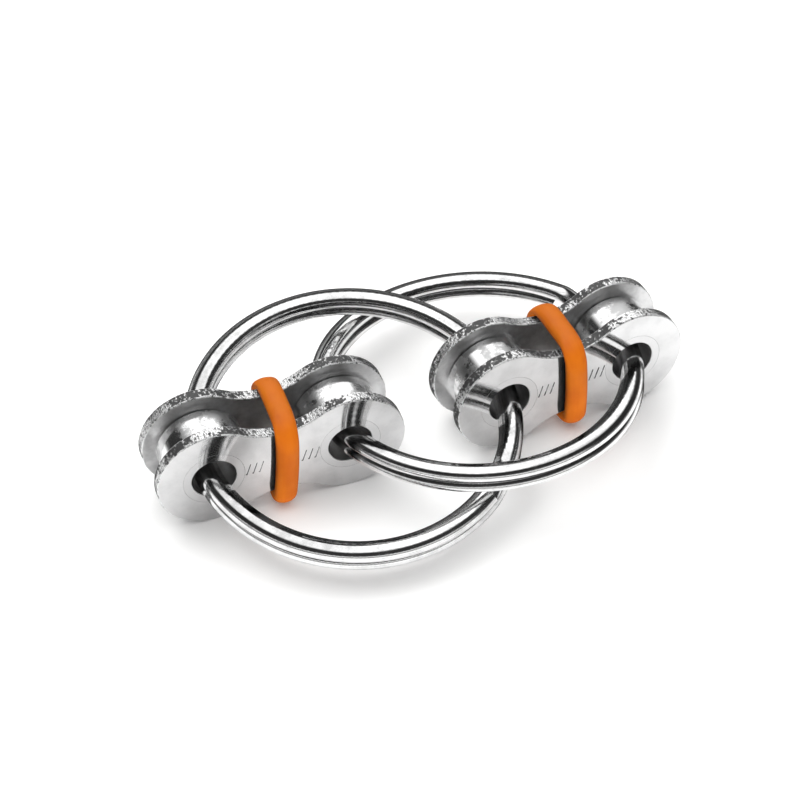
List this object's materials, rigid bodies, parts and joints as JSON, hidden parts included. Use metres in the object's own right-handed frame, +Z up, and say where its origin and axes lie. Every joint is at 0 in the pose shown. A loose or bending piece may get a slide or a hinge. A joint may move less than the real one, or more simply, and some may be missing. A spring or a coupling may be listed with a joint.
{
  "type": "flipping chain puzzle",
  "caption": "Fidget puzzle of roller-chain links, each with a silicone band round its waist, joined by interlinked split rings through their hollow bushes.",
  "frame": {"origin": "on the resting plane, under the middle of the whole puzzle at rest", "axes": "+X from the left link to the right link, +Y along the left link's bush axes away from its front plate, +Z up"},
  "size_m": [0.051, 0.0324, 0.0106],
  "materials": {
    "plate": "polished faces with sheared, speckled edges",
    "bush": "rolled steel tube, dark inside",
    "roller": "polished, lightly worn",
    "ring": "nickel plated, mirror bright",
    "band": "satin silicone"
  },
  "bodies": {
    "left_link": {"left_link_back_plate": "plate", "left_link_band": "band", "left_link_front_plate": "plate", "left_link_left_bush": "bush", "left_link_right_bush": "bush"},
    "right_link": {"right_link_back_plate": "plate", "right_link_band": "band", "right_link_front_plate": "plate", "right_link_left_bush": "bush", "right_link_right_bush": "bush"},
    "left_ring": {"left_ring": "ring"},
    "right_ring": {"right_ring": "ring"},
    "left_link_left_roller": {"left_link_left_roller": "roller"},
    "left_link_right_roller": {"left_link_right_roller": "roller"},
    "right_link_left_roller": {"right_link_left_roller": "roller"},
    "right_link_right_roller": {"right_link_right_roller": "roller"}
  },
  "joints": [
    {"name": "right_ring_swing", "type": "hinge", "parent": "left_link", "child": "right_ring", "pos_m": [-0.00757, -0.00019, 0.0052], "axis": [0, -1, 0], "range_deg": [-15, 60]},
    {"name": "left_ring_swing", "type": "hinge", "parent": "left_link", "child": "left_ring", "pos_m": [-0.02027, -0.00019, 0.0052], "axis": [0, -1, 0], "range_deg": [-6.08, 24.04]},
    {"name": "right_link_swing", "type": "hinge", "parent": "left_ring", "child": "right_link", "pos_m": [0.00736, -0.0004, 0.0053], "axis": [0.0958, -0.9948, 0.0349], "range_deg": [-15.1, 60.1]},
    {"name": "left_link_left_roller_spin", "type": "hinge", "parent": "left_link", "child": "left_link_left_roller", "pos_m": [-0.02027, -0.00019, 0.0052], "axis": [0, 1, 0], "continuous": true},
    {"name": "left_link_right_roller_spin", "type": "hinge", "parent": "left_link", "child": "left_link_right_roller", "pos_m": [-0.00757, -0.00019, 0.0052], "axis": [0, 1, 0], "continuous": true},
    {"name": "right_link_left_roller_spin", "type": "hinge", "parent": "right_link", "child": "right_link_left_roller", "pos_m": [0.00736, -0.0004, 0.0053], "axis": [-0.0958, 0.9948, -0.0349], "continuous": true},
    {"name": "right_link_right_roller_spin", "type": "hinge", "parent": "right_link", "child": "right_link_right_roller", "pos_m": [0.02, 0.00082, 0.0053], "axis": [-0.0958, 0.9948, -0.0349], "continuous": true}
  ],
  "couplings": [
    {"joint": "left_ring_swing", "follows": "right_ring_swing", "ratio": 0.399},
    {"joint": "right_link_swing", "follows": "right_ring_swing", "ratio": 1}
  ]
}
